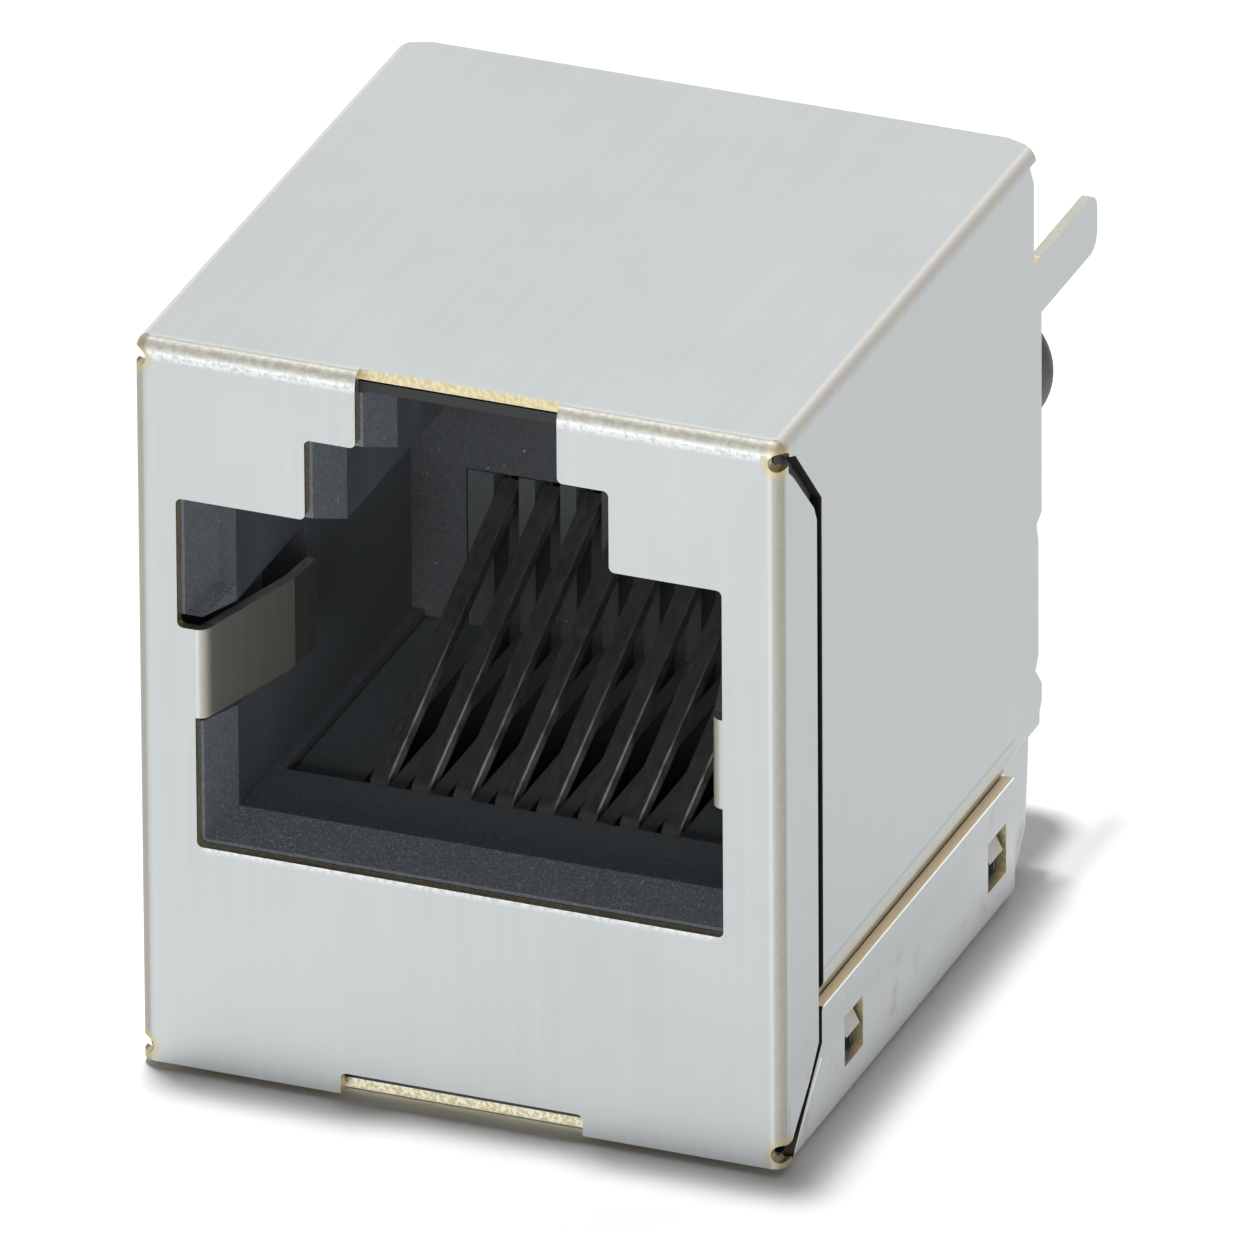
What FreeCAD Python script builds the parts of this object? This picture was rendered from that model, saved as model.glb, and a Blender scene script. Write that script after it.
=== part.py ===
"""Shielded eight-way modular board jack, lying on its long flat side.

The plug opening looks along -Y and the board side along +Y, with +Z up. The origin is
at the middle of the whole jack's box, on the surface that the bottom cover rests on.
Sizes are millimetres. Depths are counted from the face of the front plate.
"""
import FreeCAD, Part
import math
import os
import re

import Sketcher

os.makedirs("parts", exist_ok=True)
doc = FreeCAD.newDocument("BoardJack")

# Driving dimensions: name, size, meaning
DIMENSIONS = (
    ("shell_width", 15.7, "outside width of the shield"),
    ("shell_depth", 16.45, "front plate's face to the board's surface"),
    ("shell_top", 18.5, "top panel above the resting surface"),
    ("sheet", 0.25, "thickness of both folded sheets"),
    ("bend_radius", 0.36, "outside radius of every fold"),
    ("front_lift", 0.15, "front plate's lower edge above the resting surface"),
    ("seat_gap", 0.05, "clearance between a sheet and the plastic in it"),
    ("side_web", 1.45, "metal beside the opening"),
    ("port_floor", 5.83, "lower edge of the opening"),
    ("step_rise", 2.02, "height of the opening's middle step"),
    ("step_half", 3.68, "half width of the opening's middle step"),
    ("crown_web", 1.88, "metal above the middle step"),
    ("notch_half", 2.44, "half width of the latch notch"),
    ("port_corner", 0.14, "corner radius of the opening"),
    ("relief_step", 0.42, "how much wider the opening is above the left ground tab"),
    ("tab_width", 2.24, "width of the ground tabs"),
    ("tab_drop", 3.26, "ground tabs below the opening's upper edge"),
    ("tab_set", 0.23, "tab's face inside the opening's edge at the fold"),
    ("tab_lean", 0.93, "how far a tab leans in up to its knee"),
    ("tab_knee", 3.2, "depth of a tab's knee"),
    ("tab_depth", 4.3, "depth of a tab's end"),
    ("tab_fold", 0.3, "outside radius of a tab's fold"),
    ("flange_depth", 2.2, "depth of the front plate's side flanges"),
    ("seam", 0.3, "open seam between a flange and the side panel"),
    ("mitre_drop", 2.88, "flange's upper mitre starts this far below the top"),
    ("mitre_foot", 2.38, "where the flange's lower mitre starts"),
    ("mitre_run", 1.75, "depth of the upper and lower mitres"),
    ("corner_hole", 0.22, "radius of the relief holes at the front corners"),
    ("base_notch_half", 2.95, "half width of the notch in the front plate's foot"),
    ("base_notch_top", 0.68, "top of that notch"),
    ("foot_recess", 0.6, "depth of the plastic's recess behind that notch"),
    ("joggle_high", 3.72, "where the side panel starts to step in"),
    ("joggle_low", 3.38, "where the step in ends"),
    ("joggle_round", 0.22, "radius of the step's two bends"),
    ("lap_gap", 0.03, "clearance between the lapped sheets"),
    ("panel_foot", 0.3, "lower edge of the side panels"),
    ("tail_width", 1.43, "width of the shield tails"),
    ("tail_drop", 2.87, "shield tails below the top"),
    ("tail_reach", 3.6, "shield tails beyond the board's surface"),
    ("tail_round", 0.45, "corner radius of the tails' tips"),
    ("upper_setback", 0.48, "side panel's rear edge before the board, at the top"),
    ("lower_setback", 0.21, "the same lower down"),
    ("cover_front", 0.64, "bottom cover's front edge"),
    ("cover_back", 1.75, "bottom cover's rear edge before the board"),
    ("cover_height", 3.17, "height of the cover's flanges"),
    ("cover_round", 0.15, "corner radius of the flanges' tops"),
    ("cover_mitre", 2.27, "height of the flanges' front mitre"),
    ("window_low", 0.95, "lower edge of the catch windows"),
    ("window_high", 2.22, "upper edge of the catch windows"),
    ("window_length", 1.16, "length of a catch window"),
    ("window_front", 3.82, "depth at which the front window starts"),
    ("window_pitch", 9.15, "front window to rear window"),
    ("tongue_gap", 0.08, "clearance round a lanced tongue"),
    ("tongue_foot", 1.56, "lower edge of a tongue"),
    ("lead_margin", 0.08, "plastic opening inside the sheet's opening"),
    ("lead_inset", 0.42, "how far the lead-in narrows"),
    ("lead_depth", 1.03, "depth of the lead-in"),
    ("cavity_depth", 12.0, "depth of the plug cavity's back wall"),
    ("front_wall", 3.4, "depth of the wall below the opening"),
    ("latch_depth", 2.7, "depth at which the latch recess starts"),
    ("latch_roof", 1.0, "top of the latch recess below the shell's top"),
    ("tab_pocket", 0.6, "side pocket for a tab beside the opening's edge"),
    ("tab_room", 0.2, "clearance above and below a tab"),
    ("housing_floor", 0.45, "thickness of the plastic under the carrier"),
    ("peg_pitch", 11.43, "distance between the board pegs"),
    ("peg_radius", 1.6, "radius of the board pegs"),
    ("peg_height", 11.5, "board pegs above the resting surface"),
    ("peg_reach", 3.0, "length of the board pegs"),
    ("peg_round", 1.0, "rounding of the pegs' tips"),
    ("carrier_half", 5.55, "half width of the contact carrier"),
    ("carrier_gap", 0.04, "clearance round the carrier"),
    ("comb_top", 6.12, "top of the front comb"),
    ("comb_front", 3.55, "depth of the front comb's ribs"),
    ("tower_half", 4.5, "half width of the carrier's rear block"),
    ("tower_top", 10.1, "top of the carrier's rear block"),
    ("slot_width", 0.62, "width of the comb's slots"),
    ("slot_floor", 4.92, "floor of the front comb's slots"),
    ("rear_slot", 0.9, "depth of the rear comb's slots"),
    ("contact_spacing", 1.016, "contact to contact in the cavity"),
    ("tail_spacing", 1.27, "solder tail to solder tail across both rows"),
    ("row_high", 5.15, "solder tails' upper row"),
    ("row_low", 2.61, "solder tails' lower row"),
    ("contact_width", 0.46, "width of a contact"),
    ("contact_thick", 0.3, "thickness of a contact"),
    ("hairpin_front", 3.95, "depth of the contacts' front bends"),
    ("hairpin_round", 0.5, "outside radius of those bends"),
    ("spring_start", 6.05, "where the rising spring leaves the front bend"),
    ("spring_end", 9.85, "height of the spring's free end"),
    ("spring_depth", 12.35, "depth of the spring's free end"),
    ("fan_start", 13.0, "depth where the contacts start to spread"),
    ("fan_end", 14.4, "depth where they reach the tails' pitch"),
    ("drop_depth", 14.9, "depth of the lower row's downward run"),
    ("pin_reach", 3.2, "solder tails beyond the board's surface"),
    ("pin_bend", 0.45, "outside radius of the tails' bends"),
)

# Sizes that follow from them: name, formula, meaning
DERIVED = (
    ("port_half", "shell_width / 2 - side_web", "half width of the opening at the plug's body"),
    ("relief_half", "port_half + relief_step", "opening's left edge above the left ground tab"),
    ("step_top", "shell_top - crown_web", "upper edge of the middle step"),
    ("port_shoulder", "step_top - step_rise", "upper edge of the opening at the plug's body"),
    ("tab_high", "port_shoulder - tab_drop", "upper edge of the ground tabs"),
    ("tab_low", "tab_high - tab_width", "lower edge of the ground tabs"),
    ("mitre_top", "shell_top - mitre_drop", "where the flange's upper mitre starts"),
    ("tail_high", "shell_top - tail_drop", "upper edge of the shield tails"),
    ("tail_low", "tail_high - tail_width", "lower edge of the shield tails"),
    ("latch_top", "shell_top - latch_roof", "top of the latch recess"),
)

sheet = doc.addObject("Spreadsheet::Sheet", "Dims")
rows = [(alias, str(value), meaning) for alias, value, meaning in DIMENSIONS]
rows += [(alias, "=" + formula, meaning) for alias, formula, meaning in DERIVED]
for row, (alias, content, meaning) in enumerate(rows, start=1):
    sheet.set("A%d" % row, alias)
    sheet.setAlias("B%d" % row, alias)
    sheet.set("B%d" % row, content)
    sheet.set("C%d" % row, meaning)
doc.recompute()

SIDES = (1, -1)
CONTACTS = 8
# Depth zero, the front plate's face, seen from the origin in the middle of the box
FRONT = "(0 - (shell_depth + tail_reach) / 2)"
OUTSIDE = "(shell_width + 2)"


def size(alias):
    """The number that a dimension holds."""
    return float(sheet.get(alias))


def sized(text):
    """An expression in which each dimension's name points to the sheet."""
    aliases = [name for name, _, _ in rows]
    return re.sub(r"[a-z_]+", lambda m: "Dims." + m[0] if m[0] in aliases else m[0], text)


def depth(text):
    """The model's Y for a depth behind the front plate's face."""
    return "%s + (%s)" % (FRONT, text)


def front_y():
    return -(size("shell_depth") + size("tail_reach")) / 2


def new_body(name):
    body = doc.addObject("PartDesign::Body", name)
    body.Label = name
    return body


def add_sketch(body, name, role, offset="0"):
    """A sketch on one of the body's origin planes, moved along the plane's normal."""
    plane = [item for item in body.Origin.OriginFeatures if item.Role == role][0]
    sketch = body.newObject("Sketcher::SketchObject", name)
    sketch.AttachmentSupport = (plane, [""])
    sketch.MapMode = "FlatFace"
    sketch.setExpression("AttachmentOffset.Base.z", sized(offset))
    return sketch


def bind(sketch, constraint, text):
    index = sketch.addConstraint(constraint)
    sketch.setExpression("Constraints[%d]" % index, sized(text))


def polygon(sketch, corners):
    """A closed outline whose corners are pairs of expressions."""
    count = len(corners)
    first = sketch.GeometryCount
    turn = 2 * math.pi / count
    start = [FreeCAD.Vector(math.cos(turn * i), math.sin(turn * i), 0) for i in range(count)]
    for i in range(count):
        sketch.addGeometry(Part.LineSegment(start[i], start[(i + 1) % count]))
    for i in range(count):
        after = first + (i + 1) % count
        sketch.addConstraint(Sketcher.Constraint("Coincident", first + i, 2, after, 1))
    for i, (across, up) in enumerate(corners):
        bind(sketch, Sketcher.Constraint("DistanceX", -1, 1, first + i, 1, start[i].x), across)
        bind(sketch, Sketcher.Constraint("DistanceY", -1, 1, first + i, 1, start[i].y), up)


def rectangle(sketch, left, low, right, high):
    polygon(sketch, [(left, low), (right, low), (right, high), (left, high)])


def circle(sketch, across, up, radius):
    index = sketch.addGeometry(Part.Circle(FreeCAD.Vector(), FreeCAD.Vector(0, 0, 1), 1))
    bind(sketch, Sketcher.Constraint("DistanceX", -1, 1, index, 3, 0), across)
    bind(sketch, Sketcher.Constraint("DistanceY", -1, 1, index, 3, 0), up)
    bind(sketch, Sketcher.Constraint("Radius", index, 1), radius)


def mirrored(corners):
    """The same outline on the other side of the jack's middle."""
    return [("0 - (%s)" % across, up) for across, up in corners]


def extrude(kind, body, name, sketch, length, reverse=False, both=False):
    feature = body.newObject("PartDesign::" + kind, name)
    feature.Profile = sketch
    feature.setExpression("Length", sized(length))
    feature.Reversed = reverse
    if both:
        feature.SideType = "Symmetric"
    doc.recompute()
    return feature


def pad(body, name, sketch, length, reverse=False, both=False):
    return extrude("Pad", body, name, sketch, length, reverse, both)


def pocket(body, name, sketch, length, reverse=False, both=False):
    """A cut, which has to take material away."""
    before = body.Shape.Volume
    feature = extrude("Pocket", body, name, sketch, length, reverse, both)
    if not feature.Shape.Volume < before - 1e-6:
        raise RuntimeError(name + " cuts nothing")
    return feature


def edges_along(shape, axis, places):
    """Names of the straight edges along an axis whose other two coordinates are listed."""
    axes = "xyz"
    names = []
    for number, edge in enumerate(shape.Edges, start=1):
        if len(edge.Vertexes) != 2:
            continue
        run = edge.Vertexes[1].Point - edge.Vertexes[0].Point
        if abs(abs(getattr(run, axis)) - edge.Length) > 1e-6:
            continue
        middle = edge.CenterOfMass
        at = [getattr(middle, other) for other in axes if other != axis]
        if any(math.dist(at, place) < 0.01 for place in places):
            names.append("Edge%d" % number)
    return names


def fillet(body, name, base, axis_places, radius):
    """Round the edges given as (axis, places) pairs."""
    names = []
    for axis, places in axis_places:
        found = edges_along(base.Shape, axis, places)
        if len(found) < len(places):
            raise RuntimeError("%s finds %d of %d edges" % (name, len(found), len(places)))
        names += found
    feature = body.newObject("PartDesign::Fillet", name)
    feature.Base = (base, names)
    feature.setExpression("Radius", sized(radius))
    doc.recompute()
    return feature


def port_corners(inset):
    """The stepped outline of the plug opening, without the part above the middle step."""
    half, floor = "port_half - %s" % inset, "port_floor + %s" % inset
    shoulder = "port_shoulder - %s" % inset
    step, step_top = "step_half - %s" % inset, "step_top - %s" % inset
    notch = "notch_half - %s" % inset
    right = [(half, floor), (half, shoulder), (step, shoulder), (step, step_top), (notch, step_top)]
    return right, [("0 - (%s)" % across, up) for across, up in reversed(right)]


def make_shield_shell():
    """One folded sheet: top, front plate, side panels, tabs and tails."""
    body = new_body("shield_shell")
    width, top, thick = size("shell_width"), size("shell_top"), size("sheet")
    face = front_y()

    outline = add_sketch(body, "ShellOutline", "XY_Plane", "front_lift")
    rectangle(outline, "0 - shell_width / 2", FRONT, "shell_width / 2", depth("shell_depth"))
    block = pad(body, "ShellBlock", outline, "shell_top - front_lift")
    fillet(body, "ShellFolds", block, [
        ("y", [(side * width / 2, top) for side in SIDES]),
        ("x", [(face, top)]),
        ("z", [(side * width / 2, face) for side in SIDES]),
    ], "bend_radius")

    inside = add_sketch(body, "ShellInside", "XZ_Plane", "0 - (%s)" % depth("sheet"))
    rectangle(inside, "sheet - shell_width / 2", "front_lift - 1", "shell_width / 2 - sheet",
              "shell_top - sheet")
    hollow = pocket(body, "ShellHollow", inside, "shell_depth")
    inner_half = width / 2 - thick
    fillet(body, "ShellInnerFolds", hollow, [
        ("y", [(side * inner_half, top - thick) for side in SIDES]),
        ("x", [(face + thick, top - thick)]),
        ("z", [(side * inner_half, face + thick) for side in SIDES]),
    ], "bend_radius - sheet")

    cut_port(body)
    cut_side_seams(body)
    add_stepped_band(body)
    trim_rear_edges(body)
    add_ground_tabs(body)
    add_shield_tails(body)
    add_tongues(body)
    return body


def cut_port(body):
    """The plug opening, the notch in the foot and the relief holes at the folded corners."""
    opening = add_sketch(body, "PortOutline", "XZ_Plane", "0 - %s" % FRONT)
    right, left = port_corners("0")
    left = left[:-2] + [
        ("0 - relief_half", "port_shoulder"),
        ("0 - relief_half", "tab_high"),
        ("0 - port_half", "tab_high"),
        left[-1],
    ]
    crown = [("notch_half", "shell_top + 1"), ("0 - notch_half", "shell_top + 1")]
    polygon(opening, right + crown + left)
    half, foot = "base_notch_half", "front_lift - 1"
    rectangle(opening, "0 - " + half, foot, half, "base_notch_top")
    port = pocket(body, "Port", opening, "sheet + 0.06")

    rounds = []
    for side in SIDES:
        rounds += [(side * size("port_half"), size("port_floor")),
                   (side * size("step_half"), size("port_shoulder")),
                   (side * size("step_half"), size("step_top")),
                   (side * size("notch_half"), size("step_top")),
                   (side * size("base_notch_half"), size("base_notch_top"))]
    rounds += [(size("port_half"), size("port_shoulder")),
               (-size("relief_half"), size("port_shoulder")),
               (-size("relief_half"), size("tab_high"))]
    fillet(body, "PortCorners", port, [("y", rounds)], "port_corner")

    holes = add_sketch(body, "CornerHoles", "XZ_Plane", "0 - %s" % FRONT)
    for side in ("", "0 - "):
        across = "%s(shell_width / 2 - corner_hole / 2)" % side
        circle(holes, across, "shell_top - 0.5", "corner_hole")
        circle(holes, across, "front_lift + 0.36", "corner_hole")
    pocket(body, "CornerReliefs", holes, "2 * sheet")


def cut_side_seams(body):
    """The seams beside the front flanges, their mitres, and the room for the stepped band."""
    seams = add_sketch(body, "SideSeams", "YZ_Plane")
    lip = "bend_radius + 0.09"
    panel_front = "flange_depth + seam"
    low = "front_lift - 1"
    polygon(seams, [
        (depth(lip), low),
        (depth(lip), "mitre_foot - mitre_run"),
        (depth("flange_depth - 0.57"), "mitre_foot - 0.69"),
        (depth("flange_depth"), "mitre_foot"),
        (depth("flange_depth"), "mitre_top"),
        (depth("flange_depth - 0.17"), "mitre_top + 0.38"),
        (depth("flange_depth - 0.17 - 0.75 * mitre_run"), "mitre_top + 0.38 + 0.8 * mitre_run"),
        (depth(lip), "mitre_top + 2"),
        (depth(lip), "mitre_top + 2.4"),
        (depth(lip + " + 0.43"), "mitre_top + 2.24"),
        (depth(panel_front), "mitre_top + 0.43"),
        (depth(panel_front), "joggle_high"),
        (depth("shell_depth + 1"), "joggle_high"),
        (depth("shell_depth + 1"), low),
    ])
    pocket(body, "Seams", seams, OUTSIDE, both=True)


def add_stepped_band(body):
    """The side panels' lower band, stepped in behind the cover's flanges."""
    band = add_sketch(body, "BandSection", "XZ_Plane", "0 - (%s)" % depth("flange_depth + seam"))
    outer = "shell_width / 2"
    step = "(sheet + lap_gap)"
    section = [
        (outer, "joggle_high + 0.4"),
        (outer, "joggle_high"),
        ("%s - %s" % (outer, step), "joggle_low"),
        ("%s - %s" % (outer, step), "panel_foot"),
        ("%s - %s - sheet" % (outer, step), "panel_foot"),
        ("%s - %s - sheet" % (outer, step), "joggle_low + 0.08"),
        ("%s - sheet" % outer, "joggle_high + 0.08"),
        ("%s - sheet" % outer, "joggle_high + 0.4"),
    ]
    polygon(band, section)
    polygon(band, mirrored(section))
    length = "shell_depth - flange_depth - seam"
    stepped = pad(body, "SteppedBand", band, length, reverse=True)
    half = size("shell_width") / 2
    step_size = size("sheet") + size("lap_gap")
    bends = []
    for side in SIDES:
        bends += [(side * half, size("joggle_high")),
                  (side * (half - step_size), size("joggle_low")),
                  (side * (half - size("sheet")), size("joggle_high") + 0.08),
                  (side * (half - step_size - size("sheet")), size("joggle_low") + 0.08)]
    fillet(body, "BandBends", stepped, [("y", bends)], "joggle_round")


def trim_rear_edges(body):
    """The side panels' rear profile and the top panel's rear corners."""
    profile = add_sketch(body, "RearProfile", "YZ_Plane")
    behind = depth("shell_depth + 1")
    board = depth("shell_depth")
    upper = depth("shell_depth - upper_setback")
    lower = depth("shell_depth - lower_setback")
    polygon(profile, [
        (behind, "shell_top - 0.3"),
        (depth("shell_depth - upper_setback - 0.25"), "shell_top - 0.3"),
        (upper, "shell_top - 0.8"),
        (upper, "tail_low"),
        (behind, "tail_low"),
    ])
    polygon(profile, [
        (behind, "joggle_high + 5.4"),
        (board, "joggle_high + 5.4"),
        (depth("shell_depth - lower_setback - 0.12"), "joggle_high + 5.2"),
        (lower, "joggle_high + 4.75"),
        (lower, "joggle_high + 1.8"),
        (depth("shell_depth - lower_setback - 0.2"), "joggle_high + 1.5"),
        (board, "joggle_high + 1"),
        (behind, "joggle_high + 1"),
    ])
    polygon(profile, [
        (behind, "joggle_high + 0.55"),
        (board, "joggle_high + 0.55"),
        (depth("shell_depth - 0.15"), "joggle_high + 0.33"),
        (depth("shell_depth - 0.15"), "joggle_low - 0.3"),
        (depth("shell_depth - 0.35"), "window_low + 0.2"),
        (depth("shell_depth - 1.05"), "panel_foot - 0.1"),
        (depth("shell_depth - 1.05"), "panel_foot - 1"),
        (behind, "panel_foot - 1"),
    ])
    pocket(body, "RearEdges", profile, OUTSIDE, both=True)

    corners = add_sketch(body, "TopCorners", "XY_Plane", "shell_top + 1")
    triangle = [
        ("shell_width / 2 - 0.85", depth("shell_depth + 0.02")),
        ("shell_width / 2 + 0.1", depth("shell_depth - 0.36")),
        ("shell_width / 2 + 0.1", depth("shell_depth + 0.02")),
    ]
    polygon(corners, triangle)
    polygon(corners, mirrored(triangle))
    pocket(body, "RearCorners", corners, "2")


def add_ground_tabs(body):
    """Join the two tabs folded in from the opening's edges."""
    tabs = [make_tab("right_tab", 1), make_tab("left_tab", -1)]
    joined = body.newObject("PartDesign::Boolean", "GroundTabs")
    joined.setObjects(tabs)
    joined.Type = "Fuse"
    doc.recompute()


def make_tab(name, side):
    """One tab with its fold, up to where the flat front plate starts."""
    tab = new_body(name)
    plan_sketch = add_sketch(tab, name + "_plan", "XY_Plane", "tab_low")
    face = "(port_half - tab_set)"
    knee = "(%s - tab_lean)" % face
    slope = "(tab_lean / tab_knee)"
    back = "(%s + 1.05 * sheet)" % face
    plan = [
        ("port_half", depth("0")),
        (face, depth("0")),
        (knee, depth("tab_knee")),
        ("%s - 0.1" % knee, depth("tab_depth")),
        ("%s - 0.1 + sheet" % knee, depth("tab_depth")),
        ("%s + 1.02 * sheet" % knee, depth("tab_knee + 0.02")),
        ("%s - %s * sheet" % (back, slope), depth("sheet")),
        ("port_half", depth("sheet")),
    ]
    polygon(plan_sketch, plan if side == 1 else mirrored(plan))
    blade = pad(tab, name + "_blade", plan_sketch, "tab_high - tab_low")
    face_x = size("port_half") - size("tab_set")
    inner_x = face_x + 1.05 * size("sheet") - size("tab_lean") / size("tab_knee") * size("sheet")
    outer = [(side * face_x, front_y())]
    inner = [(side * inner_x, front_y() + size("sheet"))]
    rounded = fillet(tab, name + "_fold", blade, [("z", inner)], "tab_fold - sheet")
    fillet(tab, name + "_outer_fold", rounded, [("z", outer)], "tab_fold")
    return tab


def add_shield_tails(body):
    """A flat solder tail in the plane of each side panel."""
    tip = depth("shell_depth + tail_reach")
    for side, name in ((1, "Right"), (-1, "Left")):
        plane = "shell_width / 2 - sheet" if side == 1 else "0 - shell_width / 2"
        outline = add_sketch(body, name + "TailOutline", "YZ_Plane", plane)
        rectangle(outline, depth("shell_depth - 1"), "tail_low", tip, "tail_high")
        tail = pad(body, name + "Tail", outline, "sheet")
        reach = size("shell_depth") + size("tail_reach") + front_y()
        fillet(body, name + "TailTip", tail, [
            ("x", [(reach, size("tail_low")), (reach, size("tail_high"))]),
        ], "tail_round")


def add_tongues(body):
    """Lanced tongues of the stepped band, which stand out into the cover's windows."""
    slots = add_sketch(body, "TongueSlots", "YZ_Plane")
    outer = "shell_width / 2"
    inner_face = "(%s - 2 * sheet - lap_gap)" % outer
    starts = ("window_front", "window_front + window_pitch")
    for start in starts:
        rectangle(slots, depth("%s + tongue_gap" % start), "window_low",
                  depth("%s + window_length - tongue_gap" % start), "window_high - 0.15")
    pocket(body, "TongueHoles", slots, OUTSIDE, both=True)
    section = [
        (inner_face, "window_high - tongue_gap"),
        ("%s + sheet" % inner_face, "window_high - tongue_gap"),
        ("%s - 0.02" % outer, "tongue_foot + 0.05"),
        ("%s - 0.02 - sheet" % outer, "tongue_foot"),
    ]
    for start, name in zip(starts, ("Front", "Rear")):
        place = "0 - (%s)" % depth("%s + 2 * tongue_gap" % start)
        tongue = add_sketch(body, name + "TongueSection", "XZ_Plane", place)
        polygon(tongue, section)
        polygon(tongue, mirrored(section))
        pad(body, name + "Tongues", tongue, "window_length - 4 * tongue_gap", reverse=True)


def make_bottom_cover():
    """The second folded sheet: a bottom with two upstanding flanges."""
    body = new_body("bottom_cover")
    half = size("shell_width") / 2
    thick = size("sheet")
    section = add_sketch(body, "CoverSection", "XZ_Plane", "0 - (%s)" % depth("cover_front"))
    outer, inner = "shell_width / 2", "shell_width / 2 - sheet"
    polygon(section, [
        ("0 - " + outer, "0"), (outer, "0"), (outer, "cover_height"), (inner, "cover_height"),
        (inner, "sheet"), ("0 - (%s)" % inner, "sheet"), ("0 - (%s)" % inner, "cover_height"),
        ("0 - " + outer, "cover_height"),
    ])
    length = "shell_depth - cover_back - cover_front"
    channel = pad(body, "CoverChannel", section, length, reverse=True)
    folds = fillet(body, "CoverFolds", channel, [
        ("y", [(side * half, 0) for side in SIDES]),
    ], "bend_radius")
    fillet(body, "CoverInnerFolds", folds, [
        ("y", [(side * (half - thick), thick) for side in SIDES]),
    ], "bend_radius - sheet")

    mitres = add_sketch(body, "CoverMitres", "YZ_Plane")
    flange_front = "flange_depth + 0.2"
    ahead = depth("cover_front - 0.5")
    polygon(mitres, [
        (ahead, "sheet + 0.12"),
        (depth("cover_front"), "sheet + 0.12"),
        (depth(flange_front), "cover_mitre"),
        (depth(flange_front), "cover_height + 1"),
        (ahead, "cover_height + 1"),
    ])
    trimmed = pocket(body, "CoverMitreCut", mitres, OUTSIDE, both=True)
    front = front_y() + size("flange_depth") + 0.2
    back = front_y() + size("shell_depth") - size("cover_back")
    fillet(body, "CoverTops", trimmed, [
        ("x", [(front, size("cover_height")), (back, size("cover_height"))]),
    ], "cover_round")

    windows = add_sketch(body, "Windows", "YZ_Plane")
    for start in ("window_front", "window_front + window_pitch"):
        rectangle(windows, depth(start), "window_low", depth("%s + window_length" % start), "window_high")
    pocket(body, "WindowCut", windows, OUTSIDE, both=True)
    return body


def make_housing():
    """The moulded body with the plug cavity and the two board pegs."""
    body = new_body("housing")
    start = "sheet + seat_gap"
    outline = add_sketch(body, "HousingOutline", "XZ_Plane", "0 - (%s)" % depth(start))
    wide = "shell_width / 2 - sheet - seat_gap"
    narrow = "shell_width / 2 - 2 * sheet - lap_gap - seat_gap"
    top = "shell_top - sheet - seat_gap"
    right = [(narrow, "sheet + seat_gap"), (narrow, "joggle_low"), (wide, "joggle_high + 0.3"), (wide, top)]
    left = [("0 - (%s)" % across, up) for across, up in reversed(right)]
    polygon(outline, right + left)
    block = pad(body, "HousingBlock", outline, "shell_depth - sheet - seat_gap", reverse=True)
    wide_size = size("shell_width") / 2 - size("sheet") - size("seat_gap")
    top_size = size("shell_top") - size("sheet") - size("seat_gap")
    fillet(body, "HousingEdges", block, [
        ("y", [(side * wide_size, top_size) for side in SIDES]),
    ], "bend_radius - sheet + 0.1")

    foot = add_sketch(body, "FootRecess", "XZ_Plane", "0 - (%s)" % depth(start))
    half, foot_top = "(base_notch_half + 2 * seat_gap)", "base_notch_top + 2 * seat_gap"
    rectangle(foot, "0 - " + half, "0 - seat_gap", half, foot_top)
    pocket(body, "FootRecessCut", foot, "foot_recess")

    cut_cavity(body)
    cut_carrier_bay(body)
    add_pegs(body)
    return body


def cut_cavity(body):
    """Lead-in, plug cavity, latch recess and the pockets that the tabs flex in."""
    start = "sheet + seat_gap"
    mouth = add_sketch(body, "LeadIn", "XZ_Plane", "0 - (%s)" % depth(start))
    right, left = port_corners("lead_margin")
    left = left[:-2] + [
        ("lead_margin - relief_half", "port_shoulder - lead_margin"),
        ("lead_margin - relief_half", "tab_high + tab_room"),
        ("lead_margin - port_half", "tab_high + tab_room"),
        left[-1],
    ]
    crown = "latch_top + 0.45"
    polygon(mouth, right + [("notch_half - lead_margin", crown), ("lead_margin - notch_half", crown)] + left)
    funnel = pocket(body, "LeadInCut", mouth, "lead_depth")
    slope = sized("atan(lead_inset / lead_depth)")
    funnel.setExpression("TaperAngle", "0 deg - " + slope)
    doc.recompute()
    cavity = add_sketch(body, "Cavity", "XZ_Plane", "0 - (%s)" % depth(start + " + lead_depth - 0.01"))
    inset = "(lead_margin + lead_inset)"
    right, left = port_corners(inset)
    crown = "latch_top + 0.45 - lead_inset"
    polygon(cavity, right + [("notch_half - %s" % inset, crown), ("%s - notch_half" % inset, crown)] + left)
    pocket(body, "CavityCut", cavity, "cavity_depth - sheet - seat_gap - lead_depth + 0.01")

    recess = add_sketch(body, "LatchRecess", "XZ_Plane", "0 - (%s)" % depth("latch_depth"))
    rectangle(recess, "%s - step_half" % inset, "step_top - 1", "step_half - %s" % inset, "latch_top")
    pocket(body, "LatchRecessCut", recess, "cavity_depth - latch_depth")

    pockets = add_sketch(body, "TabPockets", "XZ_Plane", "0 - (%s)" % depth(start))
    low, high = "tab_low - tab_room", "tab_high + tab_room"
    rectangle(pockets, "port_half - 1", low, "port_half + tab_pocket", high)
    rectangle(pockets, "0 - port_half - tab_pocket", low, "1 - port_half", high)
    pocket(body, "TabPocketCut", pockets, "tab_depth + 1")


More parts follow.
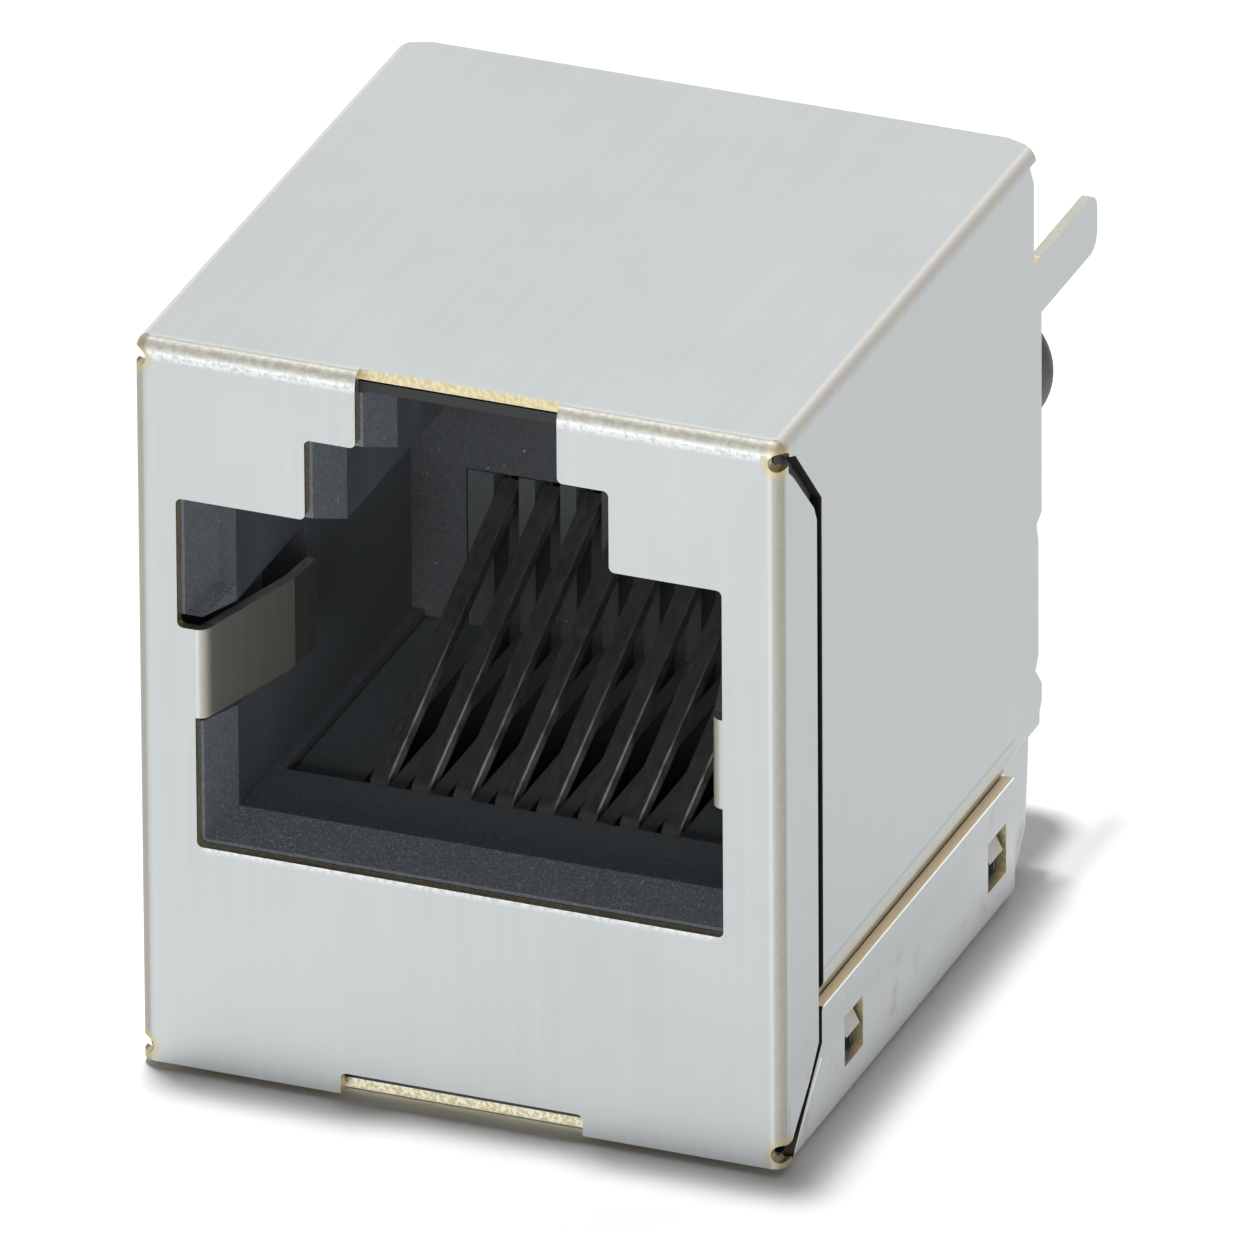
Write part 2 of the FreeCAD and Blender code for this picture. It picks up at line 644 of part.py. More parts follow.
def cut_carrier_bay(body):
    """The bay that the contact carrier slides into from the board side."""
    bay = add_sketch(body, "Bay", "XZ_Plane", "0 - (%s)" % depth("front_wall"))
    half = "carrier_half + carrier_gap"
    floor = "sheet + seat_gap + housing_floor"
    rectangle(bay, "0 - (%s)" % half, floor, half, "comb_top + carrier_gap")
    pocket(body, "BayCut", bay, "shell_depth")
    opened = add_sketch(body, "BayTop", "XZ_Plane", "0 - (%s)" % depth("front_wall"))
    rectangle(opened, "0 - (%s)" % half, "comb_top", half, "comb_top + 0.5")
    pocket(body, "BayTopCut", opened, "cavity_depth - front_wall")
    tower = add_sketch(body, "TowerBay", "XZ_Plane", "0 - (%s)" % depth("cavity_depth - 0.1"))
    half = "tower_half + carrier_gap"
    rectangle(tower, "0 - (%s)" % half, "comb_top", half, "tower_top + carrier_gap")
    pocket(body, "TowerBayCut", tower, "shell_depth")


def add_pegs(body):
    """Two round pegs on the board side."""
    place = "0 - (%s)" % depth("shell_depth - 0.5")
    pegs = add_sketch(body, "PegCircles", "XZ_Plane", place)
    circle(pegs, "peg_pitch / 2", "peg_height", "peg_radius")
    circle(pegs, "0 - peg_pitch / 2", "peg_height", "peg_radius")
    posts = pad(body, "Pegs", pegs, "peg_reach + 0.5", reverse=True)
    tip = front_y() + size("shell_depth") + size("peg_reach")
    rims = []
    for number, edge in enumerate(posts.Shape.Edges, start=1):
        box = edge.BoundBox
        if box.YLength < 1e-6 and abs(box.YMin - tip) < 1e-6:
            rims.append("Edge%d" % number)
    ends = body.newObject("PartDesign::Fillet", "PegTips")
    ends.Base = (posts, rims)
    ends.setExpression("Radius", sized("peg_round"))
    doc.recompute()


def make_contact(number):
    """A formed strip: rising spring, front bend, run, spread and solder tail."""
    body = new_body("contact_%d" % number)
    place = "(%s)" % (number - (CONTACTS + 1) / 2)
    inner = "%s * contact_spacing" % place
    outer = "%s * tail_spacing" % place
    low, high = "row_high - contact_thick / 2", "row_high + contact_thick / 2"

    spring = add_sketch(body, "Spring%d" % number, "YZ_Plane", inner)
    slope = "((spring_end - spring_start) / (spring_depth - hairpin_front))"
    rise = "(contact_thick * sqrt(1 + %s ^ 2))" % slope
    polygon(spring, [
        (depth("fan_start + 0.2"), low),
        (depth("hairpin_front"), low),
        (depth("hairpin_front"), "spring_start"),
        (depth("spring_depth"), "spring_end"),
        (depth("spring_depth + 0.1"), "spring_end - %s" % rise),
        (depth("hairpin_front + contact_thick"), "spring_start + %s * contact_thick - %s" % (slope, rise)),
        (depth("hairpin_front + contact_thick"), high),
        (depth("fan_start + 0.2"), high),
    ])
    strip = pad(body, "SpringPad%d" % number, spring, "contact_width", both=True)
    front = front_y() + size("hairpin_front")
    thick = size("contact_thick")
    slope_size = (size("spring_end") - size("spring_start")) / (size("spring_depth") - size("hairpin_front"))
    rise_size = thick * math.sqrt(1 + slope_size ** 2)
    bends = fillet(body, "SpringBends%d" % number, strip, [
        ("x", [(front, size("row_high") - thick / 2), (front, size("spring_start"))]),
    ], "hairpin_round")
    fillet(body, "SpringInnerBends%d" % number, bends, [
        ("x", [(front + thick, size("row_high") + thick / 2),
               (front + thick, size("spring_start") + slope_size * thick - rise_size)]),
    ], "hairpin_round - contact_thick")

    fan = add_sketch(body, "Fan%d" % number, "XY_Plane", low)
    polygon(fan, [
        ("%s - contact_width / 2" % inner, depth("fan_start")),
        ("%s + contact_width / 2" % inner, depth("fan_start")),
        ("%s + contact_width / 2" % outer, depth("fan_end")),
        ("%s - contact_width / 2" % outer, depth("fan_end")),
    ])
    pad(body, "FanPad%d" % number, fan, "contact_thick")

    tail = add_sketch(body, "Tail%d" % number, "YZ_Plane", outer)
    tip = depth("shell_depth + pin_reach")
    if number % 2:
        rectangle(tail, depth("fan_end - 0.1"), low, tip, high)
        pad(body, "TailPad%d" % number, tail, "contact_width", both=True)
        return body
    row_bottom, row_top = "row_low - contact_thick / 2", "row_low + contact_thick / 2"
    polygon(tail, [
        (depth("fan_end - 0.1"), high),
        (depth("drop_depth + contact_thick"), high),
        (depth("drop_depth + contact_thick"), row_top),
        (tip, row_top),
        (tip, row_bottom),
        (depth("drop_depth"), row_bottom),
        (depth("drop_depth"), low),
        (depth("fan_end - 0.1"), low),
    ])
    dropped = pad(body, "TailPad%d" % number, tail, "contact_width", both=True)
    drop = front_y() + size("drop_depth")
    bends = fillet(body, "TailBends%d" % number, dropped, [
        ("x", [(drop + thick, size("row_high") + thick / 2), (drop, size("row_low") - thick / 2)]),
    ], "pin_bend")
    fillet(body, "TailInnerBends%d" % number, bends, [
        ("x", [(drop + thick, size("row_low") + thick / 2), (drop, size("row_high") - thick / 2)]),
    ], "pin_bend - contact_thick")
    return body


def make_carrier(contacts):
    """The insert, moulded round the contacts: front comb, rear comb and tail guide."""
    body = new_body("carrier_blank")
    base = add_sketch(body, "CarrierBase", "XZ_Plane", "0 - (%s)" % depth("comb_front"))
    floor = "sheet + seat_gap + housing_floor + carrier_gap"
    rectangle(base, "0 - carrier_half", floor, "carrier_half", "comb_top")
    pad(body, "CarrierBasePad", base, "shell_depth - comb_front - 0.1", reverse=True)
    tower = add_sketch(body, "CarrierTower", "XZ_Plane", "0 - (%s)" % depth("cavity_depth"))
    rectangle(tower, "0 - tower_half", floor, "tower_half", "tower_top")
    pad(body, "CarrierTowerPad", tower, "shell_depth - cavity_depth - 0.1", reverse=True)

    slots = add_sketch(body, "FrontSlots", "XY_Plane", "tower_top + 1")
    comb = add_sketch(body, "RearSlots", "XY_Plane", "tower_top + 1")
    for number in range(1, CONTACTS + 1):
        middle = "%s * contact_spacing" % (number - (CONTACTS + 1) / 2)
        left, right = "%s - slot_width / 2" % middle, "%s + slot_width / 2" % middle
        rectangle(slots, left, depth("comb_front - 0.1"), right, depth("cavity_depth + 0.01"))
        rectangle(comb, left, depth("cavity_depth - 0.1"), right, depth("cavity_depth + rear_slot"))
    pocket(body, "FrontSlotCut", slots, "tower_top + 1 - slot_floor")
    pocket(body, "RearSlotCut", comb, "tower_top + 1 - slot_floor")

    bundle = doc.addObject("Part::Compound", "ContactBundle")
    bundle.Links = contacts
    carrier = doc.addObject("Part::Cut", "contact_carrier")
    carrier.Label = "contact_carrier"
    carrier.Base = body
    carrier.Tool = bundle
    doc.recompute()
    return carrier


def check_document():
    for item in doc.Objects:
        if {"Invalid", "Error"} & set(item.State):
            raise RuntimeError("%s is %s" % (item.Name, item.State))


def export(part):
    shape = part.Shape
    if shape.isNull() or not shape.isValid() or len(shape.Solids) != 1:
        raise RuntimeError("%s: valid %s, solids %d" % (part.Label, shape.isValid(), len(shape.Solids)))
    shape.exportStep("parts/%s.step" % part.Label)
    print("%-16s volume %8.3f  %s" % (part.Label, shape.Volume, shape.BoundBox))


parts = [make_shield_shell(), make_bottom_cover(), make_housing()]
contacts = [make_contact(number) for number in range(1, CONTACTS + 1)]
parts += [make_carrier(contacts)] + contacts
doc.recompute()
check_document()
for part in parts:
    export(part)
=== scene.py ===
"""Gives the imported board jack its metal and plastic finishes, and lights it on a pale floor."""
import math
from functools import cached_property

import bpy
from bpy.props import FloatProperty, FloatVectorProperty, PointerProperty
from bpy.types import Node, NodeSocket, Operator, Panel, PropertyGroup
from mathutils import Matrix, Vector


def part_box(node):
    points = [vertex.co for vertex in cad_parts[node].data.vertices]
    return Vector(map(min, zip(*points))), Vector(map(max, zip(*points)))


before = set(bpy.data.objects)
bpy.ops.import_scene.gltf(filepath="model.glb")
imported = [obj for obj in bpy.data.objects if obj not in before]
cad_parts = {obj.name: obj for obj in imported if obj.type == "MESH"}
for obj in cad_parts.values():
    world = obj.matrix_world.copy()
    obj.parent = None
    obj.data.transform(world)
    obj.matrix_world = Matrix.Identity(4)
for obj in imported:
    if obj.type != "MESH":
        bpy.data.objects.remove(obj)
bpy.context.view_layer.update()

bl_info = {
    "name": "Board Jack Finish",
    "version": (1, 0, 0),
    "blender": (4, 5, 0),
    "location": "View3D > Sidebar > Board Jack",
    "description": "Finishes a shielded modular board jack and sets its studio stage",
    "category": "Object",
}

# Millimetres to metres; every size below is in millimetres
MM = 0.001

# The folded sheet
SHEET_THICKNESS = 0.25
FOLD_RADIUS = 0.36
LOW, HIGH = (Vector(corner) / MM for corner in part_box("shield_shell"))
FRONT_FACE = LOW.y
SIDE_FACE = HIGH.x
TOP_FACE = HIGH.z
# Where the board side's tails start
BOARD_SIDE = HIGH.y - 3.6
# Lower edge and half width of the plug opening, and how far its rubbed lower line fades at the ends
PORT_LOW = 5.84
PORT_HALF = 6.4
LINE_FADE = 0.3
# The ground tabs: how far they reach past the opening, and between which heights their upper edges lie
TAB_REACH = 0.3
TAB_HEIGHTS = (5.0, 12.0)
# Top and rear end of the bottom cover's flanges
COVER_TOP = 3.17
COVER_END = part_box("bottom_cover")[1][1] / MM + 0.01
# Where the side starts to curve in above them, and how far below that its painted brass reflection is full
BAND_TOP = 4.05
BAND_FADE = 0.45
# Seam behind the front's flange, the reach of its painted shade, and the cover's mitre that runs down from it
SEAM_DEPTH = 2.3
SEAM_REACH = 0.8
MITRE_START, MITRE_LOW, MITRE_HIGH = 0.64, 0.37, 1.9
# Widths of the painted highlights along the cover's top and along that mitre
GLINT_WIDTH = 0.06
MITRE_GLINT_WIDTH = 0.1
# Relief holes at the folded corners: in from the side, behind the front, their heights, and the worn rings
HOLE_INSET, HOLE_DEPTH = 0.12, 0.2
HOLE_HEIGHTS = (TOP_FACE - 0.5, 0.51)
WORN_RADII = (0.5, 0.3)
# Heights between which the handling marks and the painted light on the foot of the sides grow full
SMUDGE_HEIGHTS = (4.4, 3.4)
FOOT_LIGHT_HEIGHTS = (2.6, 0.2)
# Narrow faces count as stamped edges up to this far past the sheet's thickness and its folds
EDGE_SLACK = 0.02
FOLD_SLACK = 0.05

# Depths in the plug cavity behind the front: its rim, the start and the full depth of the painted wall light
# and back-wall shade, its end
RIM_DEPTH = 1.0
SHADING_DEPTHS = (1.5, 3.0)
CAVITY_DEPTH = 14.0
# Width of the plastic close to the shield's top and corners that lies in shadow
SHADOW_WIDTH = 0.6

# The contacts: how many, their pitch, half width and foremost point, and where their tinned tails start
CONTACTS = 8
CONTACT_SPACING = 1.016
HALF_CONTACT = 0.23
CONTACT_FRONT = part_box("contact_1")[0][1] / MM
TINNED = (5.2, 6.4)
# A contact's painted highlight along its edge: its distances from the side, and behind the foremost point the
# depths over which it grows and over which the painted foremost line does, and the depth where both end
EDGE_INSETS = (0.08, 0.03)
EDGE_DEPTHS = (5.0, 0.6)
TIP_DEPTHS = (0.1, 0.04)
BRIGHT_DEPTH = 9.0

# Part of a normal along an axis: where a face starts and ends to turn to it, has turned, or is edge-on
TURNING = (0.68, 0.72)
TURNED = 0.7
EDGE_ON = 0.3

# Settings that many nodes share
SMOOTH = {"interpolation_type": "SMOOTHSTEP"}
COLOUR = {"data_type": "RGBA"}

# Direction of the white panel behind the jack, and the camera's place in metres and turn in degrees
BACKDROP = (-0.33, 0.82, 0.46)
CAMERA_PLACE = (0.285391, -0.724895, 0.403415)
CAMERA_TURN = (63.0928, 0.3368, 21.3247)
# In metres: the height that the lights aim at, the floor's half width, and how far it lies below the jack
AIM_HEIGHT = 0.009
FLOOR_REACH = 1.5
FLOOR_DROP = 0.00002


def linear(hex_colour):
    """The linear colour, with alpha, of an sRGB hex value such as #C8CBCC."""
    digits = hex_colour.lstrip("#")
    parts = [int(digits[i:i + 2], 16) / 255 for i in (0, 2, 4)]
    return tuple(c / 12.92 if c <= 0.04045 else ((c + 0.055) / 1.055) ** 2.4 for c in parts) + (1.0,)


def colour_property(name, description, hex_colour):
    return FloatVectorProperty(
        name=name, description=description, subtype="COLOR", size=4, min=0.0, max=1.0,
        default=linear(hex_colour))


def share_property(name, description, share):
    return FloatProperty(
        name=name, description=description, default=share, min=0.0, max=1.0, subtype="FACTOR")


def size_property(name, description, size, least=0.01):
    return FloatProperty(name=name, description=description + " in millimetres", default=size, min=least)


def feed(tree, socket, value):
    """Sets a socket, or links it to another one or to the first output that a node uses."""
    if isinstance(value, Node):
        value = next(output for output in value.outputs if output.enabled)
    if isinstance(value, NodeSocket):
        tree.links.new(value, socket)
    else:
        socket.default_value = value


def add_node(tree, kind, *inputs, **settings):
    """Adds a shader node with its settings, and sets or links its inputs.

    The inputs stand in the order in which the node shows them, or in one dict by name.
    """
    node = tree.nodes.new("ShaderNode" + kind)
    for name, value in settings.items():
        setattr(node, name, value)
    if inputs and isinstance(inputs[0], dict):
        pairs = [(node.inputs[name], value) for name, value in inputs[0].items()]
    else:
        pairs = zip([socket for socket in node.inputs if socket.enabled], inputs)
    for socket, value in pairs:
        feed(tree, socket, value)
    return node


def new_material(name):
    """A material with an empty tree."""
    material = bpy.data.materials.new(name)
    material.use_nodes = True
    material.node_tree.nodes.clear()
    return material, material.node_tree


def surface(tree, inputs):
    """Ends a material's tree with a Principled shader that takes these inputs."""
    add_node(tree, "OutputMaterial", {"Surface": add_node(tree, "BsdfPrincipled", inputs)})


def product(tree, *masks):
    """Where all the masks hold, each weaker by what the others lack."""
    result = masks[0]
    for mask in masks[1:]:
        result = add_node(tree, "Math", result, mask, operation="MULTIPLY")
    return result


def strongest(tree, *masks):
    """Where any of the masks holds."""
    result = masks[0]
    for mask in masks[1:]:
        result = add_node(tree, "Math", result, mask, operation="MAXIMUM")
    return result


def within(tree, value, low=None, high=None):
    """A mask of where value lies above low and below high."""
    masks = [add_node(tree, "Math", value, bound, operation=operation)
             for bound, operation in ((low, "GREATER_THAN"), (high, "LESS_THAN")) if bound is not None]
    return product(tree, *masks)


def soft_band(tree, value, start, full, fade, end):
    """A mask that grows while value goes from start to full, and fades from fade to end."""
    return product(tree, add_node(tree, "MapRange", value, start, full, **SMOOTH),
                   add_node(tree, "MapRange", value, end, fade, **SMOOTH))


def layered(tree, base, layers):
    """A base colour with further colours laid over it, each where its mask holds."""
    for mask, colour in layers:
        base = add_node(tree, "Mix", mask, base, colour, **COLOUR)
    return base


class Spot:
    """Where a shader's point lies on the jack in millimetres, and how its surface is turned."""

    def __init__(self, tree):
        self.tree = tree
        self.coordinates = add_node(tree, "TexCoord").outputs
        self.point = add_node(tree, "VectorMath", self.coordinates["Object"], 1 / MM, operation="SCALE")
        self.x, self.y, self.z = add_node(tree, "SeparateXYZ", self.point).outputs

    @cached_property
    def outward(self):
        """Distance from the jack's middle plane."""
        return add_node(self.tree, "Math", self.x, operation="ABSOLUTE")

    @cached_property
    def normal(self):
        return add_node(self.tree, "SeparateXYZ", self.coordinates["Normal"]).outputs

    @cached_property
    def facing(self):
        """How far the surface faces along each axis, either way."""
        return [add_node(self.tree, "Math", part, operation="ABSOLUTE") for part in self.normal]


def dress(node_name, material):
    """Puts a material into every slot of a CAD node."""
    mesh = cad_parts[node_name].data
    if not mesh.materials:
        mesh.materials.append(material)
    for index in range(len(mesh.materials)):
        mesh.materials[index] = material


def rolling_streaks(tree, spot, side, finish):
    """Streaks that run up the front and the sides, and back along the top."""
    top = add_node(tree, "MapRange", spot.facing[2], *TURNING, **SMOOTH)
    across = add_node(tree, "Mix", side, spot.x, spot.y)
    along = add_node(tree, "Mix", top, spot.z, spot.y)
    shrunk = add_node(tree, "Math", along, finish.streak_length, operation="DIVIDE")
    stretched = add_node(tree, "CombineXYZ", across, shrunk)
    return add_node(tree, "TexNoise", stretched, 1 / finish.streak_width, 3.0, 0.6)


def stamped_edges(tree, spot, behind):
    """Masks of the narrow faces across the sheet: in the front, the top, the sides and the foot."""
    inner = SHEET_THICKNESS + EDGE_SLACK
    clear = FOLD_RADIUS + FOLD_SLACK
    edge_on = [within(tree, part, high=EDGE_ON) for part in spot.facing]
    middle = within(tree, spot.outward, high=SIDE_FACE - clear)
    below = within(tree, spot.z, high=TOP_FACE - clear)
    return (
        product(tree, within(tree, spot.y, high=FRONT_FACE + inner), edge_on[1], middle, below),
        product(tree, within(tree, spot.z, low=TOP_FACE - inner), edge_on[2], middle,
                within(tree, spot.y, low=FRONT_FACE + HOLE_DEPTH)),
        product(tree, within(tree, spot.outward, low=SIDE_FACE - inner), edge_on[0], behind, below),
        product(tree, within(tree, spot.z, high=inner), edge_on[2], middle, behind),
    )


def ground_tabs(tree, spot, side, behind):
    """Masks of the ground tabs' faces and of their upper edges."""
    inside = within(tree, spot.outward, high=PORT_HALF + TAB_REACH)
    edge = product(tree, behind, within(tree, spot.facing[2], low=TURNED), inside,
                   within(tree, spot.z, *TAB_HEIGHTS))
    return product(tree, side, behind, inside), edge


def edge_highlight_lines(tree, spot, grains):
    """Mask of the painted highlight lines in the front, under its upper fold and under the opening."""
    top = TOP_FACE - FOLD_RADIUS
    upper = soft_band(tree, spot.z, top - 0.2, top - 0.05, top + 0.02, top + 0.1)
    lower = product(
        tree, add_node(tree, "MapRange", spot.z, PORT_LOW - 0.2, PORT_LOW - 0.04, **SMOOTH),
        within(tree, spot.z, high=PORT_LOW + EDGE_SLACK),
        add_node(tree, "MapRange", spot.outward, PORT_HALF, PORT_HALF - LINE_FADE, **SMOOTH))
    ahead = product(tree, within(tree, spot.y, high=FRONT_FACE + SHEET_THICKNESS + EDGE_SLACK),
                    within(tree, spot.facing[1], low=TURNED))
    broken = add_node(tree, "MapRange", grains, 0.38, 0.54, 0.15, 1.0, **SMOOTH)
    return product(tree, strongest(tree, upper, lower), ahead, broken)


def cover_seam(tree, spot, side, behind):
    """Masks along the cover: the stepped-in band with its painted warm reflection, the painted shade line
    above it, and the painted highlights along the cover's top and mitre.
    """
    y, z = spot.y, spot.z
    beside_cover = product(tree, side, within(tree, y, FRONT_FACE + SEAM_DEPTH, COVER_END))
    band = product(tree, beside_cover, within(tree, z, low=COVER_TOP + 0.01),
                   add_node(tree, "MapRange", z, BAND_TOP, BAND_TOP - BAND_FADE, **SMOOTH))
    middle = BAND_TOP + 0.04
    # Painted shade along the bend where the side starts to step in
    crease_shade = product(tree, beside_cover, soft_band(tree, z, middle - 0.06, middle, middle, middle + 0.08))
    # Painted highlight along the cover's top edge
    upper_glint = product(tree, beside_cover, within(tree, z, COVER_TOP - GLINT_WIDTH, COVER_TOP + 0.005))

    # Height above the sloping line of the mitre
    slope = (MITRE_HIGH - MITRE_LOW) / (SEAM_DEPTH - MITRE_START)
    line = add_node(tree, "Math", y, slope, MITRE_LOW - slope * (FRONT_FACE + MITRE_START),
                    operation="MULTIPLY_ADD")
    above = add_node(tree, "Math", z, line, operation="SUBTRACT")
    mitre_glint = product(tree, within(tree, above, -MITRE_GLINT_WIDTH, 0.0), side, behind,
                         within(tree, z, high=MITRE_HIGH))
    return band, crease_shade, strongest(tree, upper_glint, mitre_glint)


def fold_colour(tree, spot, grains, upper, finish):
    """Plate over the folds: grainy at the upper front edge, smooth and warm along the sides."""
    sparks = product(tree, add_node(tree, "MapRange", grains, 0.4, 0.62, **SMOOTH),
                     add_node(tree, "MapRange", upper, 0.0, 1.0, 0.3, 1.0, **SMOOTH))
    upright = add_node(tree, "MapRange", spot.facing[1], 0.2, 0.05, **SMOOTH)
    # Painted shade line where the top starts to fold, which also dims the highlight there
    rim = product(tree, soft_band(tree, spot.facing[2], 0.86, 0.93, 0.985, 0.999),
                  add_node(tree, "MapRange", spot.facing[1], 0.1, 0.2, **SMOOTH), 0.8)
    return layered(tree, finish.fold, (
        (sparks, finish.fold_spark),
        (upright, finish.side_fold),
        (rim, finish.fold_shade),
    ))


def worn_corners(tree, spot):
    """Mask around the relief holes at the folded corners, where the plate is worn to the brass."""
    mirrored = add_node(tree, "CombineXYZ", spot.outward, spot.y, spot.z)
    distances = [
        add_node(tree, "VectorMath", mirrored, (SIDE_FACE - HOLE_INSET, FRONT_FACE + HOLE_DEPTH, height),
                 operation="DISTANCE") for height in HOLE_HEIGHTS]
    nearest = add_node(tree, "Math", *distances, operation="MINIMUM")
    return add_node(tree, "MapRange", nearest, *WORN_RADII, **SMOOTH)


def plated_sheet(finish):
    """Rolled and stamped brass sheet with a matte tin plate.

    The plate gives an even, pale, satin grey with fine rolling streaks. It is stretched and grainy
    over the folds, and the stamped edges show the warm brass.
    """
    material, tree = new_material("tin_plated_brass_sheet")
    spot = Spot(tree)
    side = add_node(tree, "MapRange", spot.facing[0], *TURNING, **SMOOTH)
    behind = within(tree, spot.y, low=FRONT_FACE + FOLD_RADIUS + FOLD_SLACK)

    streaks = rolling_streaks(tree, spot, side, finish)
    clouds = add_node(tree, "TexNoise", spot.point, 1 / finish.cloud_size, 3.0, 0.55)
    grains = add_node(tree, "TexNoise", spot.point, 1 / finish.peel_size, 2.0, 0.65)
    blotches = add_node(tree, "TexNoise", spot.point, 1 / finish.blotch_size, 3.0, 0.6)
    # The folds are where the surface faces along no axis
    fold = add_node(tree, "MapRange", strongest(tree, *spot.facing), 0.995, 0.93, **SMOOTH)
    upper = product(tree, fold, add_node(tree, "MapRange", spot.facing[1], 0.15, 0.3, **SMOOTH),
                    add_node(tree, "MapRange", spot.facing[0], 0.3, 0.15, **SMOOTH))

    cuts = stamped_edges(tree, spot, behind)
    tab, tab_glint = ground_tabs(tree, spot, side, behind)
    edge_highlight = edge_highlight_lines(tree, spot, grains)
    band, crease_shade, edge_glints = cover_seam(tree, spot, side, behind)

    # Handling marks gather low on the sides. A painted light makes the sides lighter towards the white floor
    smudge = product(tree, add_node(tree, "MapRange", blotches, 0.56, 0.72, **SMOOTH),
                     add_node(tree, "MapRange", spot.z, *SMUDGE_HEIGHTS, **SMOOTH), side)
    lower = product(tree, add_node(tree, "MapRange", spot.z, *FOOT_LIGHT_HEIGHTS, **SMOOTH), side, behind)

    # The brass of the stamped edges is grainy, and freshly sheared at the foot
    edge_grains = add_node(tree, "TexNoise", spot.point, 1 / finish.edge_grain)
    bright_grains = add_node(tree, "MapRange", edge_grains, 0.35, 0.65, **SMOOTH)
    brass = layered(tree, finish.cut_edge, [(bright_grains, finish.cut_edge_bright)])
    sheared_grains = add_node(tree, "MapRange", edge_grains, 0.4, 0.6, **SMOOTH)
    sheared = layered(tree, finish.foot_edge, [(sheared_grains, finish.foot_edge_bright)])
    cut = strongest(tree, *cuts)
    tails = product(tree, cut, within(tree, spot.y, low=BOARD_SIDE), 0.7)
    foot = product(tree, cuts[3], add_node(tree, "MapRange", spot.z, 0.0, 0.1, 0.5, 1.0, **SMOOTH))
    cover_rim = product(tree, cuts[2], within(tree, spot.facing[2], low=0.5),
                        within(tree, spot.z, high=COVER_TOP + EDGE_SLACK))
    # Painted shade darkens the narrow gap between the front's flange and the side
    seam = product(tree, cuts[2], within(tree, spot.facing[1], low=0.5),
                   within(tree, spot.y, high=FRONT_FACE + SEAM_DEPTH + SEAM_REACH))

    colour = layered(tree, finish.plate, (
        (add_node(tree, "MapRange", clouds, 0.3, 0.7, **SMOOTH), finish.plate_shade),
        (add_node(tree, "MapRange", streaks, 0.35, 0.75, 0.0, 0.4, **SMOOTH), finish.plate_streak),
        # Painted shade: the sides are painted greyer than the front and the top
        (product(tree, side, 0.6), finish.shaded_side),
        # Painted light: the foot of the sides is painted lighter, against the shadowed floor that the metal
        # reflects
        (product(tree, lower, 0.8), finish.clean),
        (product(tree, tab, add_node(tree, "MapRange", streaks, 0.3, 0.7, 0.2, 0.9, **SMOOTH)),
         finish.brushed),
        (product(tree, smudge, 0.3), finish.smudge),
        # Painted reflection of the cover's brass edge, fading up the stepped-in band
        (product(tree, band, 0.7), finish.brass_reflection),
        # Painted shade line along that bend
        (product(tree, crease_shade, 0.5), finish.crease_shade),
        (product(tree, fold, 0.85), fold_colour(tree, spot, grains, upper, finish)),
        # Painted highlight: bright lines under the upper fold and along the opening's lower edge
        (edge_highlight, finish.edge_highlight_tint),
        # Painted highlights along the cover's top edge, its mitre and the tabs' upper edges
        (strongest(tree, edge_glints, tab_glint), finish.edge_glint),
        (product(tree, worn_corners(tree, spot), 0.8), finish.cut_edge),
        (cut, brass),
        # The tails' cut edges take the grey of the painted side shade
        (tails, finish.shaded_side),
        (foot, sheared),
        # Brass top edge of the cover, painted much lighter as a painted highlight though it lies in the
        # side's shade
        (cover_rim, finish.lit_cover_brass),
        # Painted shade in the gap beside the front's flange
        (seam, finish.seam),
    ))
    # The sheared foot is matte, and so in part are the stepped-in band and the lighter foot of the sides
    matte = strongest(tree, cuts[3], product(tree, band, 0.8), product(tree, lower, 0.6))
    rough = add_node(tree, "MapRange", streaks, 0.3, 0.7, finish.roughness - 0.01, finish.roughness + 0.02,
                     **SMOOTH)

    # Relief: rolling streaks, the plate's grain, and the peeled grain over the upper fold and the painted
    # edge highlights
    grain = add_node(tree, "TexNoise", spot.point, 1 / finish.grain_size)
    peeled = product(tree, grains, strongest(tree, upper, edge_highlight))
    relief = add_node(tree, "Math", grain, 0.25, product(tree, streaks, 0.05), operation="MULTIPLY_ADD")
    relief = add_node(tree, "Math", peeled, 6.0, relief, operation="MULTIPLY_ADD")
    surface(tree, {
        "Base Color": colour,
        "Metallic": add_node(tree, "MapRange", matte, 0.0, 1.0, 1.0, 0.1, **SMOOTH),
        "Roughness": add_node(tree, "Math", fold, 0.2, rough, operation="MULTIPLY_ADD"),
        "Normal": add_node(tree, "Bump", {
            "Height": relief, "Strength": 0.35, "Distance": finish.relief * MM}),
    })
    return material


